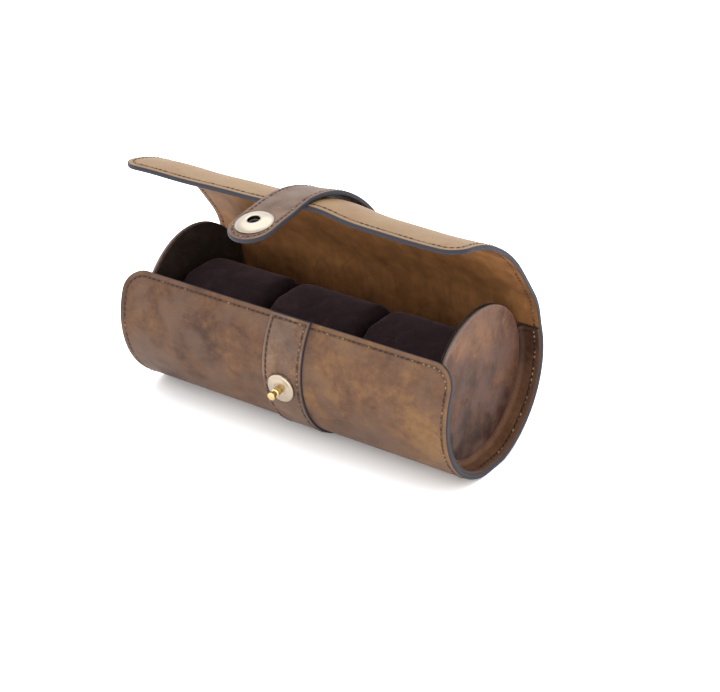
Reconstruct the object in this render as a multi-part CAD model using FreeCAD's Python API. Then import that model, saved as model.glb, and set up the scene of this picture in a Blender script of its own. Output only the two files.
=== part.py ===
# A leather watch roll: a round case wrapped in one sheet of lined leather, with two inset end discs,
# a flap that curls over the top, a closing strap with a snap socket, a stud on the front and three
# removable watch pillows.
# Frame: X along the roll, Y towards the back, Z up. The origin is in the middle of the flat that the
# roll rests on. The flap is modelled half open, as the leather holds it.
import FreeCAD, Part
import math
import os
from FreeCAD import Vector

# Driving dimensions, in millimetres and degrees.
LENGTH = 205.0                 # the wrap, end to end
WRAP_RADIUS = 47.0             # outside of the rolled leather
AXIS_Z = 46.2                  # height of the roll's axis, which leaves a flat to rest on
LEATHER = 1.4                  # outer leather
LINING = 1.1                   # thin leather lining
LIP_ANGLE = -127.0             # front wall's upper edge, measured from straight down
HINGE_ANGLE = 115.0            # line on the back wall where the flap starts to bend
LIP_CORNER = 13.0              # rounded corners of the front wall
FLAP_CORNER = 11.0             # rounded corners of the flap
FLAP_HEADING = 7.0             # flap's direction where it leaves the back wall, forward of straight up
FLAP_RUNS = [(20.0, 30.0), (24.0, 2.0), (34.0, 22.0), (35.5, 28.0)]    # lengths and bends along the flap
FLAP_SPLITS = [0.0, 44.0, 78.0, 113.5]                                 # lines where the flap curls
FOLD_GAP = 0.8                 # each stiff stretch stops this far from its bending line

END_FACE = 91.7                # outer face of an end disc, from the middle of the roll
END_RADIUS = 40.5              # free top edge of an end disc
END_COVER = 1.5
END_BOARD = 1.0
END_LINING = 0.8
FLANGE_ANGLE = 112.0           # the flange runs this far up each side
FLANGE_REACH = 102.0

STRAP_WIDTH = 24.5
STRAP_PLACE = 5.0              # the strap and its fittings sit this far to the right of the middle
STRAP_LAYER = 1.2              # each of the strap's two layers
STRAP_GAP = 0.3                # least gap between the strap and the flap
STRAP_ARCH = 2.5               # how far the free strap arches off the flap
STRAP_SEAM = 22.0              # the sewn-down strap and strip stop this many degrees short of the bottom
STRAP_TIP_CORNER = 11.5        # the strap's end is nearly a half circle
STRIP = 1.2                    # front strip's thickness
FOLD_LEAD = 1.1                # strap's fold line, beyond the flap's edge
STRAP_END_HEADING = 85.5
STRAP_END_RUNS = [(11.0, 12.0), (26.5, 8.0)]
STRAP_CLEAR = 2.2              # strap's stretches stop this far from each bending line

STUD_ANGLE = -81.0
STUD_SEAT = 47.8               # underside of the stud's plate, from the roll's axis
STUD_PLATE = 2.7
STUD_PLATE_RADIUS = 8.0
POST_RADIUS = 2.25
NECK_RADIUS = 1.6
KNOB_REACH = 58.0              # tip of the knob, from the roll's axis
WASHER_RADIUS = 4.5
WASHER = 0.7

SOCKET_REACH = 24.06           # socket's centre, from the strap's fold line
SOCKET_RADIUS = 9.6
SOCKET_DOME = 2.6
SOCKET_HOLE = 3.1
BARREL_RADIUS = 4.8
SOCKET_BACK = 0.6
SOCKET_SINK = 0.3              # cap and back washer both press this far into the leather
SOCKET_BACK_RADIUS = 7.5
SPRING_WIRE = 0.35

PILLOW_LENGTH = 57.3
PILLOW_WIDTH = 62.0
PILLOW_HEIGHT = 66.0
PILLOW_CORNER = 27.0
PILLOW_FLOOR = 2.9
PILLOW_GAP = 1.2
SUEDE = 1.2

X_AXIS = Vector(1, 0, 0)
AXIS_POINT = Vector(0, 0, AXIS_Z)
HALF = LENGTH / 2
STRAP_HALF = STRAP_WIDTH / 2
STRAP = 2 * STRAP_LAYER
MID_RADIUS = WRAP_RADIUS - (LEATHER + LINING) / 2
LEATHER_OUT = (LEATHER + LINING) / 2
LEATHER_IN = LEATHER_OUT - LEATHER


def save(shape, node):
    shape.exportStep("parts/%s.step" % node)


def on_strap_line(shape):
    """Moves a piece sideways from the middle of the roll to the strap's line."""
    return shape.translated(Vector(STRAP_PLACE, 0, 0))


def radial(angle):
    """Unit vector away from the roll's axis, at an angle from straight down, positive towards the back."""
    a = math.radians(angle)
    return Vector(0, math.sin(a), -math.cos(a))


def polar(radius, angle):
    return AXIS_POINT + radial(angle) * radius


def prism(points, x0, x1):
    """Straight-sided solid from a polygon in a plane across the roll."""
    corners = [Vector(x0, p.y, p.z) for p in points]
    face = Part.Face(Part.makePolygon(corners + corners[:1]))
    return face.extrude(Vector(x1 - x0, 0, 0))


# The rolled wrap

def flattened_roll(radius, x0, x1):
    """Round bar with a flat underneath, as the leather has where the roll rests."""
    bar = Part.makeCylinder(radius, x1 - x0, Vector(x0, 0, AXIS_Z), X_AXIS)
    level = WRAP_RADIUS - radius
    return bar.common(Part.makeBox(x1 - x0, 4 * radius, 3 * radius, Vector(x0, -2 * radius, level)))


def sector(a0, a1, x0, x1):
    """Wedge about the roll's axis between two angles, wide enough to take in the whole wrap."""
    steps = 8
    reach = 2 * WRAP_RADIUS
    rim = [polar(reach, a0 + (a1 - a0) * i / steps) for i in range(steps + 1)]
    return prism([AXIS_POINT] + rim, x0, x1)


def band(inner, outer, a0, a1, x0=-HALF, x1=HALF):
    """Curved layer of the wrap between two radii and two angles."""
    layer = flattened_roll(outer, x0, x1).cut(flattened_roll(inner, x0, x1))
    return layer.common(sector(a0, a1, x0, x1))


def rounded_corner(corner, along_x, along_sheet, normal, radius):
    """Cutter that rounds one corner of a thin sheet."""
    def at(u, v):
        return corner + along_x * u + along_sheet * v - normal * 15
    middle = radius * (1 - math.sqrt(0.5))
    wire = Part.Wire([
        Part.makeLine(at(-1, radius), at(-1, -1)),
        Part.makeLine(at(-1, -1), at(radius, -1)),
        Part.makeLine(at(radius, -1), at(radius, 0)),
        Part.Arc(at(radius, 0), at(middle, middle), at(0, radius)).toShape(),
        Part.makeLine(at(0, radius), at(-1, radius)),
    ])
    return Part.Face(wire).extrude(normal * 30)


def round_both(shape, edge_point, along_sheet, normal, half_width, radius):
    """Rounds the two corners at one end of a sheet."""
    for side in (-1, 1):
        corner = edge_point + X_AXIS * side * half_width
        shape = shape.cut(rounded_corner(corner, X_AXIS * -side, along_sheet, normal, radius))
    return shape


def round_lip(shape):
    half_turn = math.degrees(LIP_CORNER / WRAP_RADIUS) / 2
    normal = radial(LIP_ANGLE + half_turn)
    along_sheet = X_AXIS.cross(normal)
    return round_both(shape, polar(WRAP_RADIUS, LIP_ANGLE), along_sheet, normal, HALF, LIP_CORNER)


# The flap and the strap, which follow runs of constant bend

def along(start, heading, runs, distance):
    """Point and heading at a distance along tangent runs. A heading is forward of straight up."""
    y, z = start.y, start.z
    for length, bend in runs:
        part = min(distance, length)
        turn = math.radians(bend * part / length)
        chord = part * (math.sin(turn / 2) / (turn / 2) if turn else 1)
        middle = math.radians(heading) + turn / 2
        y -= chord * math.sin(middle)
        z += chord * math.cos(middle)
        heading += math.degrees(turn)
        distance -= part
        if distance <= 0:
            break
    return Vector(0, y, z), heading


def outward(heading):
    a = math.radians(heading)
    return Vector(0, math.cos(a), math.sin(a))


def forward(heading):
    a = math.radians(heading)
    return Vector(0, -math.sin(a), math.cos(a))


FLAP_START = polar(MID_RADIUS, HINGE_ANGLE)
FLAP_LENGTH = FLAP_SPLITS[-1]


def flap_station(distance):
    """Point on the flap's middle surface, and its outward normal."""
    point, heading = along(FLAP_START, FLAP_HEADING, FLAP_RUNS, distance)
    return point, outward(heading)


def strap_station(distance):
    """Point on the underside of the free strap, and its outward normal."""
    point, normal = flap_station(distance)
    gap = STRAP_GAP + STRAP_ARCH * math.sin(math.pi * distance / FLAP_LENGTH)
    return point + normal * (LEATHER_OUT + gap), normal


FLAP_TIP, FLAP_TIP_HEADING = along(FLAP_START, FLAP_HEADING, FLAP_RUNS, FLAP_LENGTH)
STRAP_FOLD = (FLAP_TIP + outward(FLAP_TIP_HEADING) * (LEATHER_OUT + STRAP_GAP + STRAP_LAYER)
              + forward(FLAP_TIP_HEADING) * FOLD_LEAD)
STRAP_END_LENGTH = sum(length for length, bend in STRAP_END_RUNS)


def strap_end_station(distance):
    """Point on the underside of the strap's end, and its outward normal."""
    point, heading = along(STRAP_FOLD, STRAP_END_HEADING, STRAP_END_RUNS, distance)
    return point - outward(heading) * STRAP_LAYER, outward(heading)


def sheet(station, start, end, inner, outer, half_width):
    """Thin solid between two offsets of a line of stations."""
    count = 9
    stations = [station(start + (end - start) * i / (count - 1)) for i in range(count)]

    def side(offset, order):
        points = [p + n * offset + Vector(-half_width, 0, 0) for p, n in order]
        return [Part.Arc(*points[i:i + 3]).toShape() for i in range(0, count - 1, 2)]
    top = side(outer, stations)
    bottom = side(inner, stations[::-1])
    ends = [Part.makeLine(top[-1].lastVertex().Point, bottom[0].firstVertex().Point),
            Part.makeLine(bottom[-1].lastVertex().Point, top[0].firstVertex().Point)]
    outline = Part.Wire(top + ends[:1] + bottom + ends[1:])
    return Part.Face(outline).extrude(Vector(2 * half_width, 0, 0))


# Turned metal parts

def turned(profile, base, axis):
    """Solid of revolution from (radius, height) points about an axis through a base point."""
    points = [Vector(r, 0, h) for r, h in profile]
    solid = Part.Face(Part.makePolygon(points + points[:1])).revolve(Vector(0, 0, 0), Vector(0, 0, 1), 360)
    solid.Placement = FreeCAD.Placement(base, FreeCAD.Rotation(Vector(0, 0, 1), axis))
    return solid


STUD_AXIS = radial(STUD_ANGLE)
STUD_TOP = STUD_SEAT + STUD_PLATE


def stud_plate():
    edge = STUD_PLATE - 0.9
    profile = [(POST_RADIUS, 0), (STUD_PLATE_RADIUS, 0), (STUD_PLATE_RADIUS, edge),
               (STUD_PLATE_RADIUS - 0.9, STUD_PLATE - 0.3), (5.0, STUD_PLATE), (POST_RADIUS, STUD_PLATE)]
    return turned(profile, polar(STUD_SEAT, STUD_ANGLE), STUD_AXIS)


def stud_post():
    """Shank riveted behind the leather, post, neck groove and knob, in one turned piece."""
    foot = WRAP_RADIUS - LEATHER - WASHER
    base = AXIS_POINT + STUD_AXIS * foot
    tip = KNOB_REACH - foot
    neck = tip - 3.6
    profile = [(0, 0), (POST_RADIUS, 0), (POST_RADIUS, neck - 0.4), (NECK_RADIUS, neck),
               (NECK_RADIUS, neck + 1.2), (POST_RADIUS, neck + 1.6), (POST_RADIUS, tip - 0.6),
               (POST_RADIUS - 0.6, tip), (0, tip)]
    return turned(profile, base, STUD_AXIS)


def stud_washer():
    base = AXIS_POINT + STUD_AXIS * (WRAP_RADIUS - LEATHER - WASHER)
    profile = [(POST_RADIUS, 0), (WASHER_RADIUS, 0), (WASHER_RADIUS, WASHER), (POST_RADIUS, WASHER)]
    return turned(profile, base, STUD_AXIS)


def socket_parts():
    """Domed cap with its barrel, spring ring, back washer, and the space they take in the strap."""
    base, axis = strap_end_station(SOCKET_REACH)
    barrel = -SOCKET_BACK
    seat = STRAP - SOCKET_SINK
    cap = turned([(SOCKET_HOLE, barrel), (BARREL_RADIUS, barrel), (BARREL_RADIUS, seat),
                  (SOCKET_RADIUS, seat), (SOCKET_RADIUS, seat + 0.8), (8.6, seat + 1.7),
                  (6.6, seat + 2.5), (4.4, seat + SOCKET_DOME + 0.3), (SOCKET_HOLE, seat + SOCKET_DOME)],
                 base, axis)
    space = turned([(0, -5), (SOCKET_BACK_RADIUS, -5), (SOCKET_BACK_RADIUS, SOCKET_SINK),
                    (BARREL_RADIUS, SOCKET_SINK), (BARREL_RADIUS, seat), (SOCKET_RADIUS, seat),
                    (SOCKET_RADIUS, seat + 5), (0, seat + 5)], base, axis)
    groove = base + axis * (seat + 0.9)
    spring = Part.makeTorus(SOCKET_HOLE - SPRING_WIRE, SPRING_WIRE, groove, axis)
    back = turned([(BARREL_RADIUS, barrel), (SOCKET_BACK_RADIUS, barrel), (SOCKET_BACK_RADIUS, SOCKET_SINK),
                   (BARREL_RADIUS, SOCKET_SINK)], base, axis)
    return cap, spring, back, space


# The end discs

def end_disc(radius, x0, thickness):
    return Part.makeCylinder(radius, thickness, Vector(x0, 0, AXIS_Z), X_AXIS)


def end_cover():
    """Right-hand disc with its U-shaped flange, which is sewn inside the wrap's edge."""
    flange_out = WRAP_RADIUS - LEATHER - LINING
    flange_in = flange_out - END_COVER
    x0 = END_FACE - END_COVER
    disc = end_disc(END_RADIUS, x0, END_COVER)
    skirt = band(END_RADIUS - 1, flange_out, -FLANGE_ANGLE, FLANGE_ANGLE, x0, END_FACE)
    flange = band(flange_in, flange_out, -FLANGE_ANGLE, FLANGE_ANGLE, END_FACE, FLANGE_REACH)
    return disc.fuse([skirt, flange]).removeSplitter()


def make_ends():
    board_x = END_FACE - END_COVER - END_BOARD
    pieces = {
        "end_cover": end_cover(),
        "end_board": end_disc(END_RADIUS - 1, board_x, END_BOARD),
        "end_lining": end_disc(END_RADIUS, board_x - END_LINING, END_LINING),
    }
    for name, right in pieces.items():
        save(right, name + "_right")
        save(right.mirror(Vector(0, 0, 0), X_AXIS), name + "_left")


# The watch pillows

def pillow_block(shrink, x0, x1):
    """Rounded bar along X, as a pillow's cross-section less a skin."""
    width = PILLOW_WIDTH - 2 * shrink
    height = PILLOW_HEIGHT - 2 * shrink
    low = Vector(x0, -width / 2, PILLOW_FLOOR + shrink)
    block = Part.makeBox(x1 - x0, width, height, low)
    lengthwise = [e for e in block.Edges if abs(e.tangentAt(e.FirstParameter).x) > 0.9]
    return block.makeFillet(PILLOW_CORNER - shrink, lengthwise)


def make_pillows():
    for index, name in enumerate(("left", "middle", "right")):
        x0 = (index - 1) * (PILLOW_LENGTH + PILLOW_GAP) - PILLOW_LENGTH / 2
        x1 = x0 + PILLOW_LENGTH
        inside = pillow_block(SUEDE, x0 + SUEDE, x1 - SUEDE)
        cover = pillow_block(0, x0 + SUEDE, x1 - SUEDE).cut(inside)
        panels = [pillow_block(0, x0, x0 + SUEDE), pillow_block(0, x1 - SUEDE, x1)]
        save(cover, "pillow_cover_" + name)
        save(Part.makeCompound(panels), "pillow_end_panels_" + name)
        save(inside, "pillow_foam_" + name)


# Assembly

def make_body():
    core = WRAP_RADIUS - LEATHER
    gap = math.degrees(FOLD_GAP / MID_RADIUS)
    leather = round_lip(band(core, WRAP_RADIUS, LIP_ANGLE, HINGE_ANGLE - gap))
    lining = round_lip(band(core - LINING, core, LIP_ANGLE, HINGE_ANGLE - gap))
    strip = band(WRAP_RADIUS, WRAP_RADIUS + STRIP, LIP_ANGLE + 0.5, -STRAP_SEAM, -STRAP_HALF, STRAP_HALF)
    strip, plate, post, washer = map(on_strap_line, (strip, stud_plate(), stud_post(), stud_washer()))
    save(leather.cut([plate, post, washer]), "body_leather")
    save(lining.cut([post, washer]), "body_lining")
    save(strip.cut([plate, post]), "front_strip")
    save(plate, "stud_plate")
    save(post, "stud_post")
    save(washer, "stud_washer")
    top = HINGE_ANGLE - math.degrees(STRAP_CLEAR / WRAP_RADIUS)
    middle = WRAP_RADIUS + STRAP_LAYER
    for name, inner in (("lining", WRAP_RADIUS), ("leather", middle)):
        layer = band(inner, inner + STRAP_LAYER, STRAP_SEAM, top, -STRAP_HALF, STRAP_HALF)
        save(on_strap_line(layer), "strap_back_" + name)


def round_flap(shape):
    heading = along(FLAP_START, FLAP_HEADING, FLAP_RUNS, FLAP_LENGTH - FLAP_CORNER / 2)[1]
    return round_both(shape, FLAP_TIP, forward(heading) * -1, outward(heading), HALF, FLAP_CORNER)


def make_flap():
    for index, name in enumerate(("rear", "middle", "front")):
        last = name == "front"
        start = FLAP_SPLITS[index] + FOLD_GAP
        end = FLAP_SPLITS[index + 1] - (0 if last else FOLD_GAP)
        leather = sheet(flap_station, start, end, LEATHER_IN, LEATHER_OUT, HALF)
        lining = sheet(flap_station, start, end, -LEATHER_OUT, LEATHER_IN, HALF)
        save(round_flap(leather) if last else leather, "flap_%s_leather" % name)
        save(round_flap(lining) if last else lining, "flap_%s_lining" % name)
        start = FLAP_SPLITS[index] + STRAP_CLEAR
        end = FLAP_SPLITS[index + 1] - (0 if last else STRAP_CLEAR)
        under = sheet(strap_station, start, end, 0, STRAP_LAYER, STRAP_HALF)
        over = sheet(strap_station, start, end, STRAP_LAYER, STRAP, STRAP_HALF)
        save(on_strap_line(under), "strap_%s_lining" % name)
        save(on_strap_line(over), "strap_%s_leather" % name)


def make_strap_end():
    cap, spring, back, space = socket_parts()
    tip, normal = strap_end_station(STRAP_END_LENGTH)
    for name, low, high in (("lining", 0, STRAP_LAYER), ("leather", STRAP_LAYER, STRAP)):
        layer = sheet(strap_end_station, FOLD_GAP, STRAP_END_LENGTH, low, high, STRAP_HALF)
        layer = round_both(layer, tip, normal.cross(X_AXIS), normal, STRAP_HALF, STRAP_TIP_CORNER)
        save(on_strap_line(layer.cut(space)), "strap_end_" + name)
    for name, metal in (("cap", cap), ("spring", spring), ("back", back)):
        save(on_strap_line(metal), "socket_" + name)


os.makedirs("parts", exist_ok=True)
make_body()
make_ends()
make_flap()
make_strap_end()
make_pillows()
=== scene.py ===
# The looks of a leather watch roll: waxed leather wrap, tan lining, saddle stitching, a snap strap,
# pale gold fittings and three suede watch pillows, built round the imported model.
import math

import bmesh
import bpy
import numpy as np
from mathutils import Matrix, Vector


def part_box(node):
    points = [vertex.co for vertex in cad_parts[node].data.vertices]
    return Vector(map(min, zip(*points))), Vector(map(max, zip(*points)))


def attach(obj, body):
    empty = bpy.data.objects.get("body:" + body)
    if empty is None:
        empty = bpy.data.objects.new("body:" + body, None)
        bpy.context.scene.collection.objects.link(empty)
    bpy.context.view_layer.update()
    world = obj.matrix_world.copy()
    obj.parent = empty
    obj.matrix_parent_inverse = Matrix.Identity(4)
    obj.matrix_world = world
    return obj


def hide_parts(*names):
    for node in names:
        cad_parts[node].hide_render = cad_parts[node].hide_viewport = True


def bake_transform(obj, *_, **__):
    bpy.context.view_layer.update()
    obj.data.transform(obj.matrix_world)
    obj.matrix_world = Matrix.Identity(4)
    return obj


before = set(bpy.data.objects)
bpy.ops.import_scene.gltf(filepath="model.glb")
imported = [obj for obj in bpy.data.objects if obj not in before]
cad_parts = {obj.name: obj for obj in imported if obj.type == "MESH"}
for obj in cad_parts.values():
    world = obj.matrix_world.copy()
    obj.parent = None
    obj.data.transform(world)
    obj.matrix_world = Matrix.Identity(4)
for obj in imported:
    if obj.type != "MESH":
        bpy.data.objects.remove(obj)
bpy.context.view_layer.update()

MM = 0.001

# Sizes of the roll, in metres and degrees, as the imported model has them.
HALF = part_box("body_leather")[1].x
WRAP_RADIUS = 47.0 * MM
AXIS_Z = 46.2 * MM
LEATHER = 1.4 * MM
LINING = 1.1 * MM
LIP_ANGLE = -127.0
HINGE_ANGLE = 115.0
LIP_CORNER = 13.0 * MM
FLAP_CORNER = 11.0 * MM
FLAP_HEADING = 7.0
FLAP_RUNS = ((20.0 * MM, 30.0), (24.0 * MM, 2.0), (34.0 * MM, 22.0), (35.5 * MM, 28.0))
FLAP_SPLITS = (0.0, 44.0 * MM, 78.0 * MM, 113.5 * MM)
END_FACE = 91.7 * MM
END_RADIUS = 40.5 * MM
END_COVER = 1.5 * MM
FLANGE_ANGLE = 112.0
FLANGE_REACH = 102.0 * MM
STRAP_HALF = 12.25 * MM
STRAP_PLACE = (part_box("front_strip")[0].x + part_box("front_strip")[1].x) / 2
STRAP_LAYER = 1.2 * MM
STRAP_GAP = 0.3 * MM
STRAP_ARCH = 2.5 * MM
STRAP_SEAM = 22.0
STRIP = 1.2 * MM
FOLD_LEAD = 1.1 * MM
STRAP_END_HEADING = 85.5
STRAP_END_RUNS = ((11.0 * MM, 12.0), (26.5 * MM, 8.0))
STRAP_TIP_CORNER = 11.9 * MM
STUD_ANGLE = -81.0
STUD_SEAT = 47.8 * MM
KNOB_REACH = 58.0 * MM
SOCKET_REACH = 24.06 * MM

OUT = (LEATHER + LINING) / 2
BETWEEN = OUT - LEATHER
MID_RADIUS = WRAP_RADIUS - OUT
FLAP_LENGTH = FLAP_SPLITS[-1]
LIP_S = math.radians(LIP_ANGLE - HINGE_ANGLE) * MID_RADIUS

# How the leather sheets are cut, rounded, meshed and sewn.
EDGE_ROUND = 0.55 * MM
EDGE_ROWS = np.array((0.0, 0.06, 0.2, 0.42, 0.75, 1.3)) * MM
GRID = 1.7 * MM
STRAP_GRID = 1.0 * MM
KINK_SPREAD = 8.0 * MM
SEAM_INSET = 3.2 * MM
STRAP_SEAM_INSET = 2.4 * MM
STITCH_PITCH = 3.1 * MM
STITCH_LENGTH = 2.5 * MM
THREAD_RADIUS = 0.5 * MM
THREAD_SINK = 0.12 * MM
STITCH_SLANT = math.radians(9)
STITCH_UNEVENNESS = math.radians(5)
SOCKET_HOLE = 4.85 * MM
STRAP_TILT = 0.06
PILLOW_SHRINK = 1.6 * MM
PILLOW_ROUND = 26 * MM
PILLOW_GRID = 3.6 * MM
PILLOW_SWELL = 2.2 * MM
PILLOW_SEAM = 3.4 * MM

OFFCUT = 0.31  # the turned parts read the leather's pattern this far from the wrap

EDGE_PAINT = (0.019, 0.018, 0.024)
materials = {}


# Places on the wrap and the strap

def radial(angle):
    a = math.radians(angle)
    return np.array((0.0, math.sin(a), -math.cos(a)))


def on_roll(radius, angle):
    return np.array((0.0, 0.0, AXIS_Z)) + radial(angle) * radius


def distance_at(angle):
    """Distance along the wrap from its hinge line to an angle on the rolled part; it is negative there."""
    return math.radians(angle - HINGE_ANGLE) * MID_RADIUS


def smooth_step(value, low, high):
    t = np.clip((value - low) / (high - low), 0, 1)
    return t * t * (3 - 2 * t)


def run_headings(s, heading, runs):
    """Heading at each distance along tangent runs of (length, bend)."""
    start = 0.0
    result = np.full(len(s), heading)
    for length, bend in runs:
        result = result + bend * np.clip((s - start) / length, 0, 1)
        start += length
    return result


def follow(headings, start, step):
    """Points reached by stepping along headings, which are forward of straight up."""
    a = np.radians((headings[1:] + headings[:-1]) / 2)
    y = start[0] - np.concatenate(([0], np.cumsum(np.sin(a)))) * step
    z = start[1] + np.concatenate(([0], np.cumsum(np.cos(a)))) * step
    return y, z


def wrap_table():
    """Middle line of the wrap from the lip to the flap's edge, eased where it leaves the circle."""
    step = 0.25 * MM
    s = np.arange(0, round((FLAP_LENGTH - LIP_S) / step) + 1) * step + LIP_S
    rolled = HINGE_ANGLE - 90 + np.degrees(s / MID_RADIUS)
    heading = np.where(s < 0, rolled, run_headings(s, FLAP_HEADING, FLAP_RUNS))
    reach = round(KINK_SPREAD / step)
    kernel = np.hanning(2 * reach + 1)
    eased = np.convolve(np.pad(heading, reach, "edge"), kernel / kernel.sum(), "valid")
    near = np.abs(s) < 2.5 * KINK_SPREAD
    eased = np.where(near, eased, heading)
    y, z = follow(eased, on_roll(MID_RADIUS, LIP_ANGLE)[1:], step)
    true_y, true_z = follow(heading, on_roll(MID_RADIUS, LIP_ANGLE)[1:], step)
    share = smooth_step(s, -KINK_SPREAD, 4 * KINK_SPREAD)
    y += share * (true_y[-1] - y[-1])
    z += share * (true_z[-1] - z[-1])
    return s, y, z, eased


WRAP = wrap_table()


def flap_swell(x, s):
    """How far the hand-formed leather stands off its true line, outwards. The heights are in millimetres."""
    u = x / HALF
    bulge = 2.6 * np.exp(-((x - 22 * MM) / (16 * MM)) ** 2)
    front = 0.4 + 0.5 * u - 1.5 * u * u + bulge
    ripple = 0.35 * np.sin(x * 61 + 1.0) + 0.175 * np.sin(x * 133 + 0.4)
    flap = smooth_step(s, 35 * MM, 105 * MM) * front + smooth_step(s, 5 * MM, 60 * MM) * ripple
    lip_wave = 0.35 * np.sin(x * 52 + 0.5) + 0.2 * np.sin(x * 118 + 2.2)
    lip = (1 - smooth_step(s, LIP_S, LIP_S + 45 * MM)) * lip_wave
    return (flap + lip) * MM


def wrap_place(x, s, offset):
    """Points at an offset outside the wrap's middle line. The rolled part never goes below the floor."""
    y = np.interp(s, WRAP[0], WRAP[1])
    z = np.interp(s, WRAP[0], WRAP[2])
    a = np.radians(np.interp(s, WRAP[0], WRAP[3]))
    off = offset + flap_swell(x, s)
    y = y + np.cos(a) * off
    z = z + np.sin(a) * off
    floor = OUT - offset
    soft = 0.4 * MM
    rolled = s < 0
    z = np.where(rolled, (z + floor + np.sqrt((z - floor) ** 2 + soft ** 2)) / 2, z)
    return np.stack((x, y, z), -1)


def strap_table():
    """Underside of the strap from the back wall, over the flap, to the tip of its free end."""
    step = 0.25 * MM
    s = np.arange(distance_at(STRAP_SEAM), FLAP_LENGTH, step)
    y = np.interp(s, WRAP[0], WRAP[1])
    z = np.interp(s, WRAP[0], WRAP[2])
    heading = np.interp(s, WRAP[0], WRAP[3])
    arch = STRAP_ARCH * np.sin(math.pi * np.clip(s, 0, None) / FLAP_LENGTH)
    lift = STRAP_GAP * smooth_step(s, 0, 10 * MM) + arch
    a = np.radians(heading)
    y = y + np.cos(a) * (OUT + lift)
    z = z + np.sin(a) * (OUT + lift)
    length = FOLD_LEAD + sum(run[0] for run in STRAP_END_RUNS)
    along = np.arange(0, length + step, step)
    end_heading = run_headings(along - FOLD_LEAD, STRAP_END_HEADING, STRAP_END_RUNS)
    tip = np.radians(heading[-1])
    end_y, end_z = follow(end_heading, (y[-1] - math.sin(tip) * step, z[-1] + math.cos(tip) * step), step)
    return (np.concatenate((s, s[-1] + step + along)), np.concatenate((y, end_y)),
            np.concatenate((z, end_z)), np.concatenate((heading, end_heading)))


STRAP = strap_table()
STRAP_TIP = STRAP[0][-1]
SOCKET_S = FLAP_LENGTH + FOLD_LEAD + SOCKET_REACH


def strap_place(x, s, offset):
    """Points on the strap. x is measured from the strap's own middle line."""
    y = np.interp(s, STRAP[0], STRAP[1])
    z = np.interp(s, STRAP[0], STRAP[2])
    a = np.radians(np.interp(s, STRAP[0], STRAP[3]))
    loose = smooth_step(s, FLAP_LENGTH - 4 * MM, FLAP_LENGTH + 12 * MM)
    swell = flap_swell(x + STRAP_PLACE, np.minimum(s, FLAP_LENGTH)) * (1 - loose) + loose * x * STRAP_TILT
    off = offset + swell
    return np.stack((x + STRAP_PLACE, y + np.cos(a) * off, z + np.sin(a) * off), -1)


def strip_place(x, s, offset):
    return wrap_place(x + STRAP_PLACE, s, offset)


def spot(locate, x, s, offset=0.0):
    """One point of a sheet."""
    return locate(*(np.array((value,)) for value in (x, s, offset)))[0]


def wrap_tone_and_painted_light(x, s):
    """How dark the oiled leather is made: 1 is darkest. The flap is painted pale, a painted highlight for the
    light that falls on it from above, and the front wall dark, a painted shade.
    """
    # pale marks the flap, where the painted highlight goes
    pale = smooth_step(s, 20 * MM, 80 * MM)
    low = np.exp(-((s + 112 * MM) / (17 * MM)) ** 2)
    return (0.60 - 0.13 * x / HALF - 0.14 * low) * (1 - pale) + 0.10 * pale


def strap_tone(x, s):
    """The strap is darker over the flap and less dark towards its tip. It is even across its width."""
    over_flap = smooth_step(s, 0, 60 * MM)
    toward_tip = smooth_step(s, FLAP_LENGTH, STRAP_TIP)
    return 0.54 + 0.12 * over_flap - 0.08 * toward_tip


# Materials

def node_adder(tree):
    """Gives a helper that adds a node: links are {socket: source}, in_ settings are socket values.
    A node as a source stands for its first output."""
    def add(kind, links=(), **settings):
        node = tree.nodes.new(kind)
        for key, value in settings.items():
            if key.startswith("in_"):
                node.inputs[key[3:].replace("_", " ")].default_value = value
            else:
                setattr(node, key, value)
        for socket, source in dict(links).items():
            tree.links.new(source.outputs[0] if hasattr(source, "outputs") else source, node.inputs[socket])
        return node
    return add


def new_material(name):
    """Material's principled shader, a helper that adds nodes, and one that links them."""
    material = bpy.data.materials.new(name)
    material.use_nodes = True
    materials[name] = material
    tree = material.node_tree
    return tree.nodes["Principled BSDF"], node_adder(tree), tree.links.new


def set_values(shader, **values):
    """Sets plain values straight on a shader's sockets; _ stands for a space."""
    for socket, value in values.items():
        shader.inputs[socket.replace("_", " ")].default_value = value


def ramp(add, source, *stops):
    """Colour ramp. A plain number in a stop is a grey."""
    node = add("ShaderNodeValToRGB", {"Fac": source})
    elements = node.color_ramp.elements
    while len(elements) < len(stops):
        elements.new(0.5)
    for element, (position, colour) in zip(elements, stops):
        element.position = position
        element.color = (*colour, 1) if isinstance(colour, tuple) else (colour, colour, colour, 1)
    return node.outputs["Color"]


def noise(add, vector, scale, detail=3.0, roughness=0.55, distortion=0.0):
    node = add("ShaderNodeTexNoise", {"Vector": vector}, in_Scale=scale, in_Detail=detail,
               in_Roughness=roughness, in_Distortion=distortion)
    return node.outputs["Fac"]


def feed(node, index, value):
    """Links a source to a node's socket, or sets the socket to a plain value."""
    if hasattr(value, "is_linked"):
        node.id_data.links.new(value, node.inputs[index])
    else:
        node.inputs[index].default_value = (*value, 1) if isinstance(value, tuple) else value


def blended(add, factor, first, second, mode="MIX"):
    node = add("ShaderNodeMix", data_type="RGBA", blend_type=mode)
    for index, value in ((0, factor), (6, first), (7, second)):
        feed(node, index, value)
    return node.outputs[2]


def maths(add, operation, first, second=0.0):
    node = add("ShaderNodeMath", operation=operation)
    feed(node, 0, first)
    feed(node, 1, second)
    return node.outputs[0]


def times(add, first, second):
    return maths(add, "MULTIPLY", first, second)


def weighed(add, *parts):
    """Sum of (source, share) parts."""
    total = times(add, *parts[0])
    for source, share in parts[1:]:
        total = maths(add, "ADD", total, times(add, source, share))
    return total


def stretched(add, vector, scale):
    return add("ShaderNodeMapping", {"Vector": vector}, in_Scale=scale).outputs["Vector"]


def stored(add, name, output="Fac"):
    return add("ShaderNodeAttribute", attribute_name=name).outputs[output]


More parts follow.
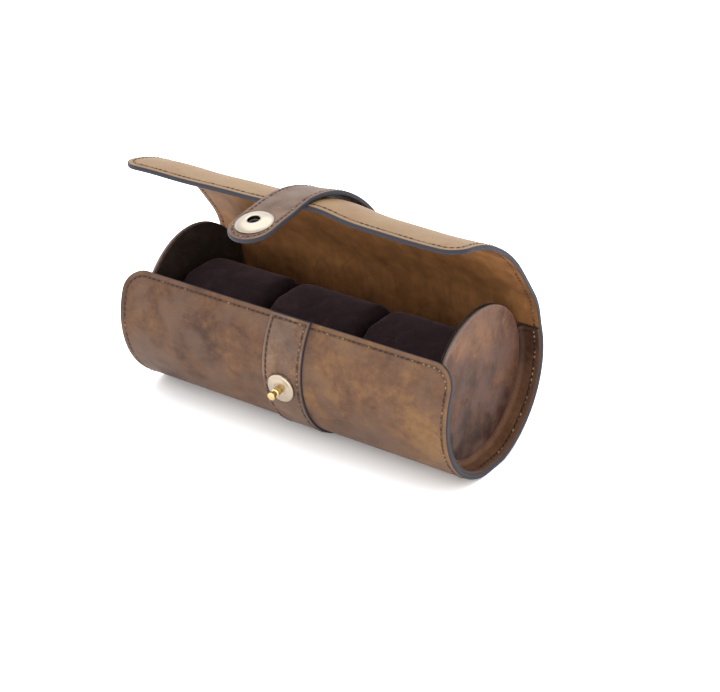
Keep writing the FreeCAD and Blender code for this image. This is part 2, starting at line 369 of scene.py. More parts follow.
def by_distance(add, distance, *stops):
    """Ramp over a stored distance, with its stops in millimetres, up to 1."""
    return ramp(add, times(add, distance, 1000), *stops)


def bump(add, height, strength, distance, over=None, invert=False):
    """Normal of a relief, laid over another one if there is one."""
    links = {"Height": height} if over is None else {"Height": height, "Normal": over}
    node = add("ShaderNodeBump", links, in_Strength=strength, in_Distance=distance, invert=invert)
    return node.outputs["Normal"]


def waxed_leather(name, shades, plum, edge_paint, grain=1.0, blotch=26.0):
    """Waxed pull-up leather: cloudy patches, scuffs, fine grain, a painted edge with a paler band inside it,
    partly wear and partly painted highlight, and a sewn groove with painted shade along it.
    blotch is the number of clouds in a metre."""
    shader, add, link = new_material(name)
    place = stored(add, "place", "Vector")
    rim, groove, tone_and_painted_light = (stored(add, label) for label in ("rim", "groove", "tone_and_painted_light"))
    dark, middle, light, pale = shades

    clouds = noise(add, place, blotch, 4.0, 0.6, 0.6)
    patches = noise(add, stretched(add, place, (1, 1.35, 1)), blotch * 3.1, 3.0, 0.55, 0.4)
    mottle = noise(add, place, blotch * 12, 3.0, 0.6)
    # The stored tone darkens the leather; on the wrap it carries a painted highlight on the flap and painted
    # shade on the front wall.
    tone = weighed(add, (tone_and_painted_light, -0.85), (clouds, 1.0), (patches, 0.42), (mottle, 0.36))
    colour = ramp(add, tone, (0.18, dark), (0.44, middle), (0.60, light), (0.90, pale))
    tint = noise(add, stretched(add, place, (1.2, 1, 1)), blotch * 1.7, 2.0)
    tint = ramp(add, tint, (0.45, 0), (0.62, 1))
    colour = blended(add, times(add, tint, tone_and_painted_light), colour, plum)

    scuffs = noise(add, stretched(add, place, (90, 520, 90)), 1.0, 4.0, 0.62, 1.2)
    scuffs = ramp(add, scuffs, (0.6, 0), (0.72, 0.35))
    colour = blended(add, scuffs, colour, light)
    pores = ramp(add, noise(add, place, 2400.0, 2.0, 0.6), (0.35, 0.22), (0.6, 0))
    colour = blended(add, pores, colour, dark, "MULTIPLY")
    # Paler band between the cut edge and the stitches, on the paler leather: partly wear, partly a painted
    # highlight where the bulging edge catches the light.
    edge_wear_and_highlight = ramp(add, weighed(add, (rim, 160), (clouds, 0.5)), (0.3, 0.5), (0.72, 0))
    edge_wear_and_highlight = times(add, edge_wear_and_highlight, ramp(add, tone_and_painted_light, (0.30, 1), (0.62, 0.1)))
    colour = blended(add, edge_wear_and_highlight, colour, light)
    # Painted shade: a darker band along the sewn groove, where the dent lies in shade.
    groove_shade = by_distance(add, groove, (0.45, 0.7), (1.0, 0))
    colour = blended(add, groove_shade, colour, dark)
    painted = by_distance(add, rim, (0.3, 1), (0.6, 0))
    link(blended(add, painted, colour, edge_paint), shader.inputs["Base Color"])

    shine = ramp(add, weighed(add, (clouds, 0.6), (mottle, 0.4)), (0.3, 0.46), (0.7, 0.66))
    link(shine, shader.inputs["Roughness"])
    cells = add("ShaderNodeTexVoronoi", {"Vector": place}, feature="DISTANCE_TO_EDGE", in_Scale=820.0)
    cells = ramp(add, cells.outputs["Distance"], (0.0, 0), (0.16, 1))
    fine = bump(add, cells, 0.3 * grain, 0.12 * MM)
    creases = noise(add, stretched(add, place, (1, 0.55, 1)), 210.0, 5.0, 0.62, 0.8)
    soft = bump(add, creases, 0.35 * grain, 0.7 * MM, fine)
    sunk = by_distance(add, groove, (0.1, 0), (1.0, 1))
    link(bump(add, sunk, 0.8, 0.3 * MM, soft), shader.inputs["Normal"])
    set_values(shader, Specular_IOR_Level=0.13, Coat_Weight=0.02, Coat_Roughness=0.35)


def lining_leather():
    """Thin tan leather, matte, with fine lines that run from the hinge to the flap's edge."""
    shader, add, link = new_material("tan_lining")
    place = stored(add, "place", "Vector")
    rim, groove = stored(add, "rim"), stored(add, "groove")
    clouds = noise(add, place, 26.0, 4.0, 0.6, 0.8)
    patches = noise(add, place, 110.0, 4.0, 0.6)
    lines = noise(add, stretched(add, place, (420, 34, 1)), 1.0, 5.0, 0.65, 0.5)
    wander = noise(add, stretched(add, place, (24, 11, 1)), 1.0, 2.0, 0.5, 0.2)
    creases = ramp(add, wander, (0.478, 0), (0.496, 1), (0.508, 0))
    creases = times(add, creases, ramp(add, clouds, (0.44, 0), (0.6, 1)))
    tone = weighed(add, (clouds, 0.45), (lines, 0.2), (patches, 0.35))
    dark, middle, light = (0.079, 0.032, 0.010), (0.141, 0.060, 0.020), (0.203, 0.091, 0.031)
    colour = ramp(add, tone, (0.36, dark), (0.5, middle), (0.64, light))
    # Painted shade darkens the creases.
    colour = blended(add, times(add, creases, 0.22), colour, (0.067, 0.027, 0.009))
    # Painted shade: a darker band along the sewn groove, where the dent lies in shade.
    groove_shade = by_distance(add, groove, (0.35, 0.5), (0.95, 0))
    colour = blended(add, groove_shade, colour, (0.097, 0.041, 0.015))
    painted = by_distance(add, rim, (0.3, 1), (0.6, 0))
    link(blended(add, painted, colour, EDGE_PAINT), shader.inputs["Base Color"])
    link(ramp(add, clouds, (0.3, 0.52), (0.7, 0.68)), shader.inputs["Roughness"])
    ribs = bump(add, lines, 0.25, 0.4 * MM)
    link(bump(add, creases, 0.3, 1.2 * MM, ribs, invert=True), shader.inputs["Normal"])
    shader.inputs["Specular IOR Level"].default_value = 0.2


def suede(name, shades, sheen_tint):
    """Dark microsuede with a brushed nap."""
    shader, add, link = new_material(name)
    place = add("ShaderNodeTexCoord").outputs["Object"]
    nap = noise(add, place, 60.0, 4.0, 0.6, 1.0)
    fibres = noise(add, stretched(add, place, (1500, 900, 1500)), 1.0, 3.0, 0.7)
    dark, middle, light = shades
    tone = weighed(add, (nap, 0.6), (fibres, 0.4))
    link(ramp(add, tone, (0.32, dark), (0.52, middle), (0.7, light)), shader.inputs["Base Color"])
    link(bump(add, fibres, 0.5, 0.3 * MM), shader.inputs["Normal"])
    set_values(shader, Roughness=0.95, Specular_IOR_Level=0.15, Sheen_Weight=0.3, Sheen_Roughness=0.4,
               Sheen_Tint=(*sheen_tint, 1))


def plated_metal(name, colour, rough):
    """Satin plated metal with faint turning marks and smudges, and painted shade, near black, inside the
    socket's bore.
    """
    shader, add, link = new_material(name)
    place = add("ShaderNodeTexCoord").outputs["Object"]
    smudge = noise(add, place, 320.0, 3.0, 0.6)
    shade = tuple(channel * 0.92 for channel in colour)
    # Painted shade: the socket's bore is coloured near black.
    bore_shade = ramp(add, times(add, stored(add, "rim"), 100), (0.63, 0), (0.645, 1))
    smudged = ramp(add, smudge, (0.35, shade), (0.6, colour))
    link(blended(add, bore_shade, smudged, (0.012, 0.010, 0.009)), shader.inputs["Base Color"])
    satin = ramp(add, smudge, (0.3, rough * 0.9), (0.7, rough * 1.15))
    link(satin, shader.inputs["Roughness"])
    brushed = noise(add, stretched(add, place, (5200, 900, 900)), 1.0, 2.0, 0.6)
    link(bump(add, brushed, 0.06, 0.05 * MM), shader.inputs["Normal"])
    shader.inputs["Metallic"].default_value = 1.0


def waxed_thread():
    """Dark brown thread, with painted glints that make the middle of some stitches paler, and painted shade,
    near black, where it goes into the holes.
    """
    shader, add, link = new_material("brown_thread")
    place = add("ShaderNodeTexCoord").outputs["Object"]
    along = stored(add, "along")
    strands = noise(add, place, 2600.0, 2.0, 0.6)
    patches = noise(add, place, 160.0, 2.0, 0.5)
    colour = ramp(add, strands, (0.35, (0.012, 0.007, 0.005)), (0.65, (0.042, 0.023, 0.014)))
    # Painted highlight: paler glints on the middle of some stitches.
    painted_glints = times(add, ramp(add, patches, (0.5, 0), (0.6, 1)),
                   ramp(add, along, (0.4, 0.75), (0.75, 0)))
    colour = blended(add, painted_glints, colour, (0.190, 0.120, 0.068))
    # Painted shade: the ends of each stitch, where it goes into its hole, turn near black.
    hole_shade = ramp(add, along, (0.6, 0), (0.85, 0.9))
    link(blended(add, hole_shade, colour, (0.005, 0.003, 0.003)), shader.inputs["Base Color"])
    link(bump(add, strands, 0.6, 0.1 * MM), shader.inputs["Normal"])
    set_values(shader, Roughness=0.55, Specular_IOR_Level=0.15)


def fibre_board():
    """Grey-brown pressed board, seen only where a cover leaves its edge bare."""
    shader, add, link = new_material("fibre_board")
    place = add("ShaderNodeTexCoord").outputs["Object"]
    fibres = noise(add, place, 900.0, 4.0, 0.7)
    colour = ramp(add, fibres, (0.3, (0.06, 0.045, 0.03)), (0.7, (0.13, 0.10, 0.07)))
    link(colour, shader.inputs["Base Color"])
    shader.inputs["Roughness"].default_value = 0.9


def make_materials():
    # On the wrap the pale shade is reached mostly on the flap, where the light from above is painted.
    waxed_leather("waxed_leather", ((0.042, 0.020, 0.013), (0.098, 0.048, 0.025),
                                    (0.143, 0.075, 0.031), (0.164, 0.104, 0.050)),
                  (0.090, 0.053, 0.036), EDGE_PAINT)
    waxed_leather("strap_leather", ((0.045, 0.025, 0.017), (0.105, 0.058, 0.036),
                                    (0.150, 0.089, 0.056), (0.201, 0.134, 0.092)),
                  (0.101, 0.068, 0.054), EDGE_PAINT, grain=0.8, blotch=34.0)
    waxed_leather("end_leather", ((0.024, 0.010, 0.006), (0.084, 0.037, 0.020),
                                  (0.138, 0.067, 0.035), (0.180, 0.096, 0.050)),
                  (0.079, 0.041, 0.032), (0.128, 0.089, 0.081), blotch=30.0)
    waxed_leather("flange_leather", ((0.018, 0.007, 0.003), (0.042, 0.017, 0.008),
                                     (0.073, 0.031, 0.014), (0.097, 0.044, 0.021)),
                  (0.035, 0.017, 0.012), (0.028, 0.017, 0.013), blotch=40.0)
    lining_leather()
    suede("plum_suede", ((0.007, 0.003, 0.005), (0.015, 0.008, 0.010), (0.034, 0.018, 0.021)),
          sheen_tint=(0.26, 0.17, 0.18))
    suede("brown_suede", ((0.006, 0.003, 0.002), (0.013, 0.008, 0.006), (0.030, 0.018, 0.013)),
          sheen_tint=(0.24, 0.16, 0.12))
    # The same gold in two copies: the socket's is painted darker, as it faces the light from above, and the
    # stud plate's is painted lighter and a little warmer, as it faces the front: painted shade and painted
    # light.
    plated_metal("gold_with_painted_shade", (0.275, 0.240, 0.196), 0.3)
    plated_metal("gold_with_painted_light", (0.365, 0.302, 0.235), 0.32)
    plated_metal("bright_brass", (0.527, 0.391, 0.178), 0.2)
    # The spring steel's dark colour also serves as painted shade for the spring ring deep in the socket's
    # hole.
    plated_metal("spring_steel", (0.085, 0.081, 0.076), 0.35)
    waxed_thread()
    fibre_board()


# Meshes

def add_object(name, data):
    item = bpy.data.objects.new(name, data)
    bpy.context.scene.collection.objects.link(item)
    return item


def new_piece(name, points, faces, material, place=None, rim=None, groove=None, tone_and_painted_light=None, sharp=38.0):
    """Smooth closed mesh from points and faces, with the attributes that the leather reads."""
    mesh = bpy.data.meshes.new(name)
    mesh.from_pydata([tuple(p) for p in points], [], [tuple(f) for f in faces])
    for label, values in (("rim", rim), ("groove", groove), ("tone_and_painted_light", tone_and_painted_light)):
        if values is not None:
            layer = mesh.attributes.new(label, "FLOAT", "POINT")
            layer.data.foreach_set("value", np.asarray(values, np.float32))
    if place is not None:
        layer = mesh.attributes.new("place", "FLOAT_VECTOR", "POINT")
        layer.data.foreach_set("vector", np.asarray(place, np.float32).ravel())
    work = bmesh.new()
    work.from_mesh(mesh)
    bmesh.ops.recalc_face_normals(work, faces=work.faces)
    work.to_mesh(mesh)
    work.free()
    mesh.shade_smooth()
    mesh.set_sharp_from_angle(angle=math.radians(sharp))
    mesh.materials.append(materials[material])
    return add_object(name, mesh)


def lines_between(start, end, cut_start, cut_end, step=GRID):
    """Positions of mesh lines from start to end, closer together beside a cut edge."""
    low = start + EDGE_ROWS if cut_start else np.array((start,))
    high = end - EDGE_ROWS[::-1] if cut_end else np.array((end,))
    count = max(2, int(math.ceil((high[0] - low[-1]) / step)) + 1)
    return np.concatenate((low, np.linspace(low[-1], high[0], count)[1:-1], high))


def edge_drop(distance):
    """How far a rounded edge falls below the face, at a distance in from the edge."""
    short = np.clip(EDGE_ROUND - distance, 0, EDGE_ROUND)
    return EDGE_ROUND - np.sqrt(EDGE_ROUND ** 2 - short ** 2)


def edge_distance(x, s, half, start, end, corner_start, corner_end):
    """Distance in from the cut outline of a strip; an end that isn't cut has no corner and is None."""
    side = half - np.abs(x)
    result = side
    for limit, corner, sign in ((start, corner_start, 1), (end, corner_end, -1)):
        if limit is None:
            continue
        ahead = (s - limit) * sign
        result = np.minimum(result, ahead)
        if corner:
            in_corner = (side < corner) & (ahead < corner)
            round_in = corner - np.hypot(corner - side, corner - ahead)
            result = np.where(in_corner, round_in, result)
    return np.maximum(result, 0)


def punch(quads, x, s, hole_s, radius):
    """Opens a round hole on the middle line of a sheet. Gives the faces left and the edges round the hole."""
    flat_x, flat_s = x.ravel(), s.ravel()
    away = np.hypot(flat_x, flat_s - hole_s)
    gone = (away < radius)[quads].any(1)
    kept = {tuple(sorted(edge)) for quad in quads[~gone] for edge in zip(quad, np.roll(quad, -1))}
    removed = [edge for quad in quads[gone] for edge in zip(quad, np.roll(quad, -1))]
    edges = [edge for edge in removed if tuple(sorted(edge)) in kept]
    border = np.unique(edges)
    scale = radius / away[border]
    x.flat[border] = flat_x[border] * scale
    s.flat[border] = hole_s + (flat_s[border] - hole_s) * scale
    return quads[~gone], edges


def slab(name, locate, span, half, offsets, material, cut=(False, False), corner=(0, 0),
         rounded=(False, True), seam=SEAM_INSET, step=GRID, tone_and_light_of=wrap_tone_and_painted_light, hole=None):
    """A closed thin layer of leather between two offsets, over a span of distances along its line.
    cut says which ends are true edges, and rounded whether the inner and the outer face is rounded there."""
    start, end = span
    rows = lines_between(start, end, cut[0], cut[1], step)
    ends = (start if cut[0] else None, end if cut[1] else None)
    width = np.full(len(rows), half)
    for limit, radius, sign in ((start, corner[0], 1), (end, corner[1], -1)):
        if radius:
            short = np.clip(radius - (rows - limit) * sign, 0, radius)
            width -= radius - np.sqrt(radius ** 2 - short ** 2)
    across = lines_between(-half, half, True, True, step)
    edge_count = len(EDGE_ROWS)
    x = np.empty((len(rows), len(across)))
    for i, w in enumerate(width):
        squeeze = min(1.0, (w - 0.2 * MM) / EDGE_ROWS[-1])
        inset = EDGE_ROWS * squeeze
        inner = (w - inset[-1]) / (half - EDGE_ROWS[-1])
        x[i, :edge_count] = -w + inset
        x[i, edge_count:-edge_count] = across[edge_count:-edge_count] * inner
        x[i, -edge_count:] = w - inset[::-1]
    s = np.repeat(rows[:, None], len(across), 1)
    n_rows, n_cols = x.shape
    index = np.arange(n_rows * n_cols).reshape(n_rows, n_cols)
    quads = np.stack((index[:-1, :-1], index[1:, :-1], index[1:, 1:], index[:-1, 1:]), -1).reshape(-1, 4)
    hole_edges = []
    if hole:
        quads, hole_edges = punch(quads, x, s, *hole)
    distance = edge_distance(x, s, half, ends[0], ends[1], *corner)
    drop = edge_drop(distance)
    layers = []
    for offset, is_rounded, sign in ((offsets[1], rounded[1], -1), (offsets[0], rounded[0], 1)):
        off = offset + sign * is_rounded * drop
        layers.append((locate(x.ravel(), s.ravel(), off.ravel()), np.stack((x, s, off), -1).reshape(-1, 3)))
    points = np.concatenate([layer[0] for layer in layers])
    place = np.concatenate([layer[1] for layer in layers])
    rim = np.tile(distance.ravel(), 2)
    groove = np.abs(rim - seam)
    low = index + n_rows * n_cols
    under = quads[:, ::-1] + n_rows * n_cols
    walls = [np.array([(a, b, b + index.size, a + index.size) for a, b in hole_edges], int).reshape(-1, 4)]
    borders = ((index[0], low[0]), (index[-1], low[-1]), (index[:, 0], low[:, 0]), (index[:, -1], low[:, -1]))
    for line, line_low in borders:
        walls.append(np.stack((line[:-1], line[1:], line_low[1:], line_low[:-1]), -1))
    faces = np.concatenate([quads, under] + walls).tolist()
    tone_and_painted_light = tone_and_light_of(place[:, 0], place[:, 1])
    return new_piece(name, points, faces, material, place, rim, groove, tone_and_painted_light)


def height_tone(z):
    """The end discs are darker towards the bottom."""
    return 0.95 - 0.60 * z / (2 * AXIS_Z)


def turned(name, profile, base, axis, material, segments=64):
    """Mesh turned about an axis from (radius, height) points. A profile that starts off it is a ring."""
    profile = [(max(r, 0.0), h) for r, h in profile]
    closed = profile[0][0] > 1e-9
    spin = Vector((0, 0, 1)).rotation_difference(Vector(axis)).to_matrix()
    points, rings = [], []
    for r, h in profile:
        if r < 1e-9:
            rings.append([len(points)] * segments)
            points.append((0, 0, h))
            continue
        rings.append(list(range(len(points), len(points) + segments)))
        for k in range(segments):
            a = 2 * math.pi * k / segments
            points.append((r * math.cos(a), r * math.sin(a), h))
    pairs = list(zip(rings, rings[1:])) + ([(rings[-1], rings[0])] if closed else [])
    faces = []
    for first, second in pairs:
        for k in range(segments):
            n = (k + 1) % segments
            corners = [first[k], first[n], second[n], second[k]]
            face = [c for i, c in enumerate(corners) if c not in corners[:i]]
            if len(face) > 2:
                faces.append(face)
    placed = [spin @ Vector(p) + Vector(base) for p in points]
    place = np.array(points) + OFFCUT
    reach = max(r for r, h in profile)
    rim = [max(reach - math.hypot(p[0], p[1]), 0) for p in points]
    tone_and_painted_light = [height_tone(p.z) for p in placed]
    return new_piece(name, placed, faces, material, place, rim, [1.0] * len(points), tone_and_painted_light, sharp=32.0)


# Stitches

def stitch_tree():
    """Geometry nodes that lay slanted stitches at an even pitch along lines that carry an "up" direction."""
    tree = bpy.data.node_groups.new("saddle_stitches", "GeometryNodeTree")
    sockets = tree.interface
    sockets.new_socket("Sewing line", in_out="INPUT", socket_type="NodeSocketGeometry")
    for label, value in (("Pitch", STITCH_PITCH), ("Stitch length", STITCH_LENGTH),
                         ("Thread radius", THREAD_RADIUS), ("Slant", STITCH_SLANT),
                         ("Unevenness", STITCH_UNEVENNESS)):
        socket = sockets.new_socket(label, in_out="INPUT", socket_type="NodeSocketFloat")
        socket.default_value = value
    sockets.new_socket("Thread", in_out="INPUT", socket_type="NodeSocketMaterial")
    sockets.new_socket("Stitches", in_out="OUTPUT", socket_type="NodeSocketGeometry")
    add = node_adder(tree)
    given = add("NodeGroupInput").outputs

    # Even steps along the line, and the way each stitch turns there
    curve = add("GeometryNodeMeshToCurve", {"Mesh": given["Sewing line"]})
    even = add("GeometryNodeResampleCurve", {"Curve": curve, "Length": given["Pitch"]}, mode="LENGTH")
    up = add("GeometryNodeInputNamedAttribute", data_type="FLOAT_VECTOR", in_Name="up")
    tangent = add("GeometryNodeInputTangent")
    turn = add("FunctionNodeAxesToRotation", {"Primary Axis": tangent, "Secondary Axis": up},
               primary_axis="Y", secondary_axis="Z")
    lowest = maths(add, "SUBTRACT", given["Slant"], given["Unevenness"])
    highest = maths(add, "ADD", given["Slant"], given["Unevenness"])
    uneven = add("FunctionNodeRandomValue", {2: lowest, 3: highest}, in_Seed=7)
    slant = add("FunctionNodeAxisAngleToRotation", {"Angle": uneven.outputs[1]}, in_Axis=(0, 0, 1))
    both = add("FunctionNodeRotateRotation", {"Rotation": turn, "Rotate By": slant}, rotation_space="LOCAL")

    # One stitch: a slim bead with its distance from the middle stored on it
    bead = add("GeometryNodeMeshUVSphere", in_Segments=8, in_Rings=7, in_Radius=1.0)
    upright = add("GeometryNodeTransform", {"Geometry": bead}, in_Rotation=(math.pi / 2, 0, 0))
    place = add("ShaderNodeSeparateXYZ", {"Vector": add("GeometryNodeInputPosition")})
    from_middle = maths(add, "ABSOLUTE", place.outputs["Y"])
    marked = add("GeometryNodeStoreNamedAttribute", {"Geometry": upright, "Value": from_middle},
                 in_Name="along")
    half_length = times(add, given["Stitch length"], 0.5)
    size = add("ShaderNodeCombineXYZ", {"X": given["Thread radius"], "Y": half_length,
                                        "Z": given["Thread radius"]})

    stitches = add("GeometryNodeInstanceOnPoints",
                   {"Points": even, "Instance": marked, "Rotation": both, "Scale": size})
    real = add("GeometryNodeRealizeInstances", {"Geometry": stitches})
    smooth = add("GeometryNodeSetShadeSmooth", {"Geometry": real})
    finish = add("GeometryNodeSetMaterial", {"Geometry": smooth, "Material": given["Thread"]})
    add("NodeGroupOutput", {"Stitches": finish})
    return tree


def sew(name, lines, tree):
    """One piece of stitches along several lines, each a list of (point, up) pairs."""
    points, ups, edges = [], [], []
    for line in lines:
        first = len(points)
        points += [tuple(p) for p, up in line]
        ups += [tuple(up) for p, up in line]
        edges += [(i, i + 1) for i in range(first, len(points) - 1)]
    guide = bpy.data.meshes.new(name + "_guide")
    guide.from_pydata(points, edges, [])
    layer = guide.attributes.new("up", "FLOAT_VECTOR", "POINT")
    layer.data.foreach_set("vector", np.asarray(ups, np.float32).ravel())
    worker = add_object(name + "_guide", guide)
    modifier = worker.modifiers.new("stitches", "NODES")
    modifier.node_group = tree
    thread = next(item for item in tree.interface.items_tree if item.name == "Thread")
    modifier[thread.identifier] = materials["brown_thread"]
    bpy.context.view_layer.update()
    mesh = bpy.data.meshes.new_from_object(worker.evaluated_get(bpy.context.evaluated_depsgraph_get()))
    mesh.name = name
    if not mesh.materials:
        mesh.materials.append(materials["brown_thread"])
    bpy.data.objects.remove(worker)
    return add_object(name, mesh)


def seam_line(locate, spots, offset, facing):
    """(point, up) pairs on one face of a layer at (x, s) spots. facing is 1 outside and -1 inside."""
    x, s = np.array(spots).T
    low = locate(x, s, np.full(len(x), offset))
    high = locate(x, s, np.full(len(x), offset + facing * MM))
    ups = (high - low) / np.linalg.norm(high - low, axis=1)[:, None]
    low[:, 2] = np.maximum(low[:, 2], THREAD_RADIUS)  # pressed in where the roll stands on it
    return list(zip(low, ups))


def border_spots(span, half, inset, cut, corner, step=1.5 * MM):
    """(x, s) places along the sewn border of a strip, round whichever ends are cut."""
    start, end = span
    reach = half - inset

    def side(sign, low, high):
        return [(sign * reach, s) for s in np.arange(low, high, step)] + [(sign * reach, high)]

    def around(limit, radius, inward):
        """From the -x side to the +x side along one cut end."""
        bend = max(radius - inset, 0.1 * MM)
        centre = limit + inward * (inset + bend)
        angles = np.linspace(0, math.pi / 2, 9)
        left = [(-reach + bend - bend * math.cos(a), centre - inward * bend * math.sin(a)) for a in angles]
        right = [(-x, s) for x, s in left[::-1]]
        count = max(2, int((2 * (reach - bend)) / step))
        middle = [(x, limit + inward * inset) for x in np.linspace(-reach + bend, reach - bend, count)[1:-1]]
        return left + middle + right

    low = start + (max(corner[0], inset) if cut[0] else 0)
    high = end - (max(corner[1], inset) if cut[1] else 0)
    left, right = side(-1, low, high), side(1, low, high)
    if cut[0] and cut[1]:
        return [left[::-1] + around(start, corner[0], 1) + right + around(end, corner[1], -1)[::-1]]
    if cut[0]:
        return [left[::-1] + around(start, corner[0], 1) + right]
    if cut[1]:
        return [left + around(end, corner[1], -1) + right[::-1]]
    return [left, right]


def joined(piece, span_bodies, locate, ends):
    """Rides a piece on one body. A piece between two bodies only has its place baked into its mesh and rides
    on neither.
    """
    if len(span_bodies) == 1:
        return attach(piece, span_bodies[0])
    points = [spot(locate, 0.0, s) for s in ends]
    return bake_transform(piece, *span_bodies, start=tuple(points[0]), end=tuple(points[1]))


# The wrap: body, flap, and the lining inside both

def middle_of(index):
    return (FLAP_SPLITS[index] + FLAP_SPLITS[index + 1]) / 2


CROSSING = distance_at(92.0)
WRAP_ZONES = (
    # name, span, cut ends, corners, bodies, the stretch of the sheet between the two bodies
    ("body", (LIP_S, CROSSING), (True, False), (LIP_CORNER, 0), ("case",), None),
    ("flap_rear", (CROSSING, middle_of(0)), (False, False), (0, 0), ("case", "flap_rear"),
     (-18 * MM, middle_of(0))),
    ("flap_middle", (middle_of(0), middle_of(1)), (False, False), (0, 0), ("flap_rear", "flap_middle"),
     (middle_of(0), middle_of(1))),
    ("flap_front", (middle_of(1), FLAP_LENGTH), (False, True), (0, FLAP_CORNER),
     ("flap_middle", "flap_front"), (middle_of(1), middle_of(2))),
)


def make_wrap(tree):
    for name, span, cut, corner, bodies, ends in WRAP_ZONES:
        for layer, offsets, rounded, material, slot in (
                ("leather", (BETWEEN, OUT), (False, True), "waxed_leather", "outer_leather"),
                ("lining", (-OUT, BETWEEN), (True, False), "tan_lining", "lining_leather")):
            piece = slab("%s_%s_sheet" % (name, layer), wrap_place, span, HALF, offsets, material,
                         cut, corner, rounded)
            joined(piece, bodies, wrap_place, ends)
            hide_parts("%s_%s" % (name, layer))
        lines = []
        for spots in border_spots(span, HALF, SEAM_INSET, cut, corner):
            lines.append(seam_line(wrap_place, spots, OUT - THREAD_SINK, 1))
            lines.append(seam_line(wrap_place, spots, THREAD_SINK - OUT, -1))
        stitches = sew("%s_stitches" % name, lines, tree)
        joined(stitches, bodies, wrap_place, ends)


# The strap and the front strip

STRAP_ZONES = (
    ("strap_back", (distance_at(STRAP_SEAM), -16 * MM), (True, False), (0, 0), ("case",), None),
    ("strap_rear", (-16 * MM, middle_of(0)), (False, False), (0, 0), ("case", "flap_rear"),
     (-14 * MM, middle_of(0))),
    ("strap_middle", (middle_of(0), middle_of(1)), (False, False), (0, 0), ("flap_rear", "flap_middle"),
     (middle_of(0), middle_of(1))),
    ("strap_front", (middle_of(1), middle_of(2) + 8 * MM), (False, False), (0, 0),
     ("flap_middle", "flap_front"), (middle_of(1), middle_of(2))),
    ("strap_end", (middle_of(2) + 8 * MM, STRAP_TIP), (False, True), (0, STRAP_TIP_CORNER),
     ("flap_front", "strap_end"), (FLAP_LENGTH - 7 * MM, FLAP_LENGTH + 9 * MM)),
)


def make_strap(tree):
    for name, span, cut, corner, bodies, ends in STRAP_ZONES:
        hole = (SOCKET_S, SOCKET_HOLE) if name == "strap_end" else None
        for layer, offsets, rounded in (("leather", (STRAP_LAYER, 2 * STRAP_LAYER), (False, True)),
                                        ("lining", (0.0, STRAP_LAYER), (True, False))):
            piece = slab("%s_%s_layer" % (name, layer), strap_place, span, STRAP_HALF, offsets,
                         "strap_leather", cut, corner, rounded, STRAP_SEAM_INSET, STRAP_GRID,
                         strap_tone, hole)
            joined(piece, bodies, strap_place, ends)
            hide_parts("%s_%s" % (name, layer))
        lines = []
        for spots in border_spots(span, STRAP_HALF, STRAP_SEAM_INSET, cut, corner, STRAP_GRID):
            lines.append(seam_line(strap_place, spots, 2 * STRAP_LAYER - THREAD_SINK, 1))
            lines.append(seam_line(strap_place, spots, THREAD_SINK, -1))
        joined(sew("%s_stitches" % name, lines, tree), bodies, strap_place, ends)


def make_front_strip(tree):
    span = (LIP_S + 0.4 * MM, distance_at(-STRAP_SEAM))
    cut, corner = (True, True), (0, 0)
    strip = slab("front_strip_layer", strip_place, span, STRAP_HALF, (OUT, OUT + STRIP), "strap_leather",
                 cut, corner, (False, True), STRAP_SEAM_INSET, STRAP_GRID, strap_tone)
    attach(strip, "case")
    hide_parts("front_strip")
    lines = [seam_line(strip_place, spots, OUT + STRIP - THREAD_SINK, 1)
             for spots in border_spots(span, STRAP_HALF, STRAP_SEAM_INSET, cut, corner, STRAP_GRID)]
    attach(sew("front_strip_stitches", lines, tree), "case")


# The end discs

